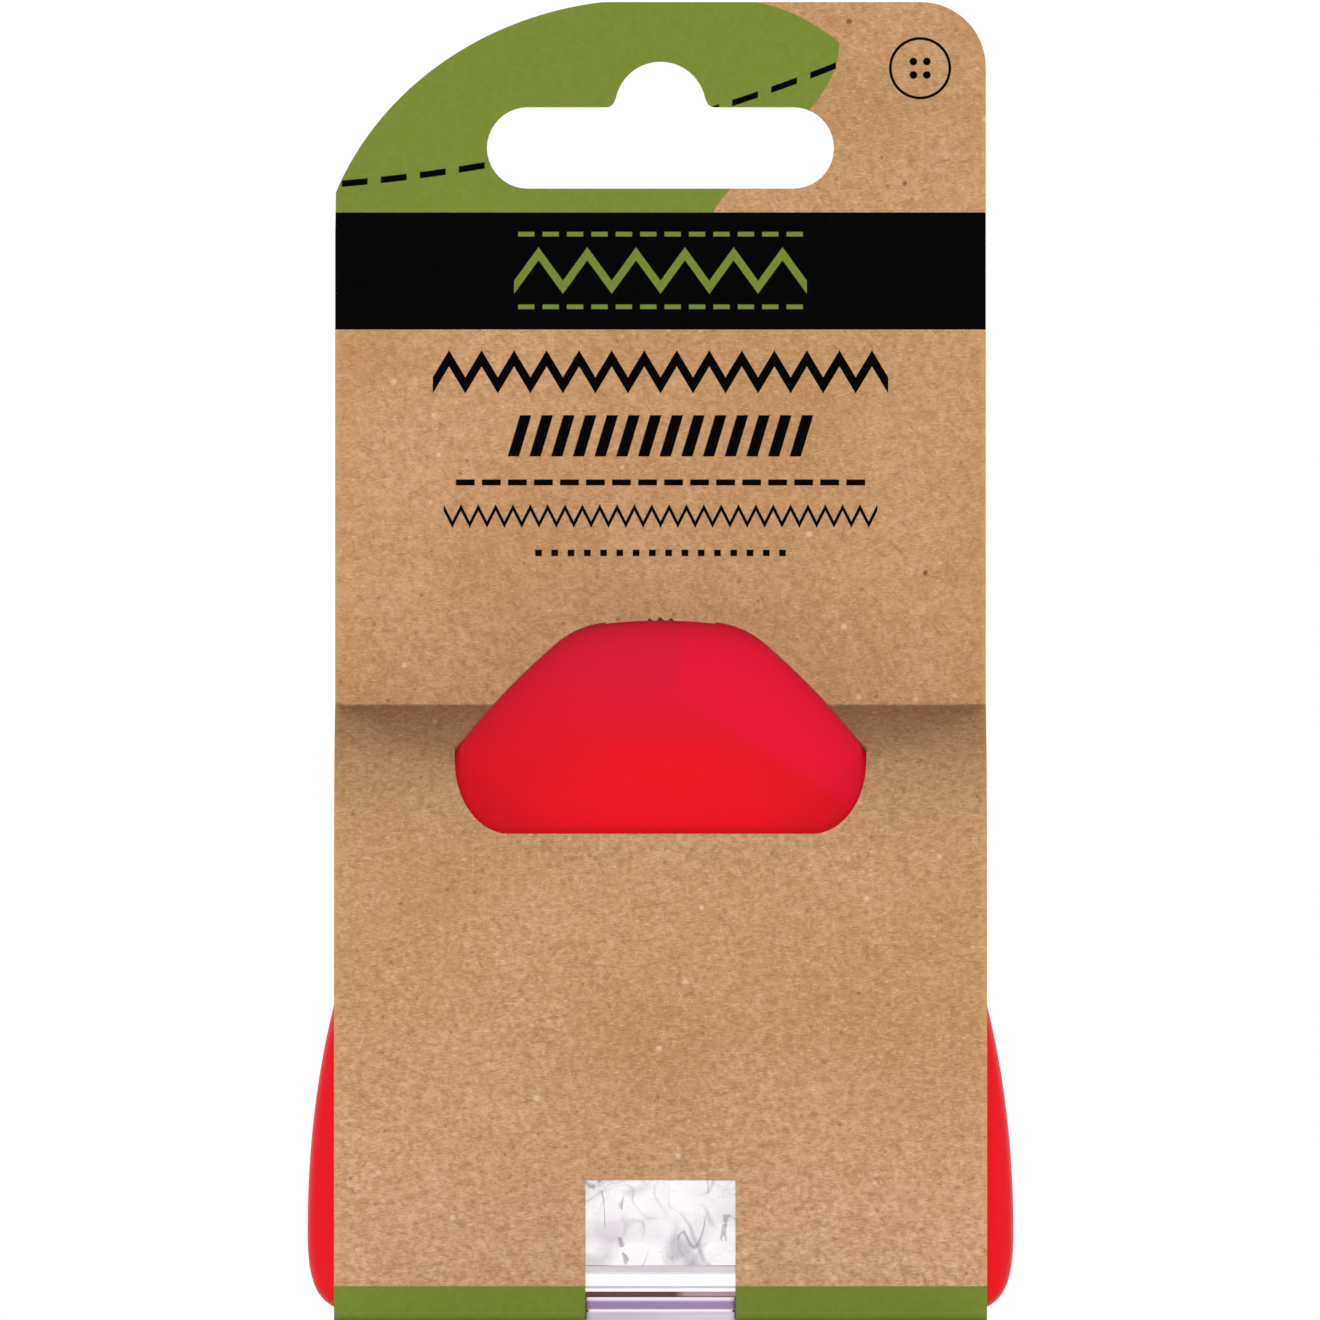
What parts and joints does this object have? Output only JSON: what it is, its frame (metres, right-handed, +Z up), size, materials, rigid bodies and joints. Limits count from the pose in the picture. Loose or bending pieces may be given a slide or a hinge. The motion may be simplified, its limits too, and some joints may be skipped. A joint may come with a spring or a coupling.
{
  "type": "chalk wheel marker",
  "caption": "Flat palm-sized dressmaker's chalk marker with a toothed wheel at its tip and a chalk tank at its wide end, held in a folded hanging card.",
  "frame": {"origin": "middle of the pack's footprint, on the ground", "axes": "+Z up along the card, towards the hang slot; front of the pack towards -Y; +X to the right as seen from the front"},
  "size_m": [0.065, 0.0136, 0.1215],
  "materials": {
    "kraft_card": "uncoated brown kraft, printed on its front",
    "red_plastic": "glossy moulded",
    "clear_plastic": "clear moulded",
    "white_plastic": "satin moulded",
    "frosted_plastic": "frosted moulded",
    "chalk": "caked powder",
    "seal_rubber": "matt",
    "steel": "drawn wire and turned steel",
    "blued_steel": "blued, dusted with chalk",
    "brass": "turned"
  },
  "bodies": {
    "pack": {"card_sleeve": "kraft_card", "front_shell": "red_plastic", "back_shell": "red_plastic", "guide_plate": "white_plastic", "shell_screws": "steel", "return_spring": "steel"},
    "flap": {"card_flap": "kraft_card"},
    "cartridge": {"chalk_tank": "clear_plastic", "chalk_fill": "chalk", "tank_base": "white_plastic", "base_gasket": "seal_rubber", "neck_tube": "white_plastic", "nose_fork": "white_plastic", "wheel_axle": "steel"},
    "wheel": {"marking_wheel": "blued_steel", "wheel_bush": "brass"},
    "plug": {"refill_plug": "frosted_plastic", "plug_seal": "seal_rubber"}
  },
  "joints": [
    {"name": "flap_hinge", "type": "hinge", "parent": "pack", "child": "flap", "pos_m": [0, 0.00655, 0.00025], "axis": [-1, 0, 0], "range_deg": [0, 90]},
    {"name": "cartridge_slide", "type": "slide", "parent": "pack", "child": "cartridge", "axis": [0, 0, 1], "range_m": [0, 0.002], "stiffness_N_per_m": 300, "springref_m": -0.003, "deforming": ["return_spring"]},
    {"name": "wheel_spin", "type": "hinge", "parent": "cartridge", "child": "wheel", "pos_m": [0, 0, 0.0592], "axis": [0, 1, 0], "continuous": true},
    {"name": "plug_pull", "type": "slide", "parent": "cartridge", "child": "plug", "axis": [0, 0, -1], "range_m": [0, 0.01]}
  ]
}
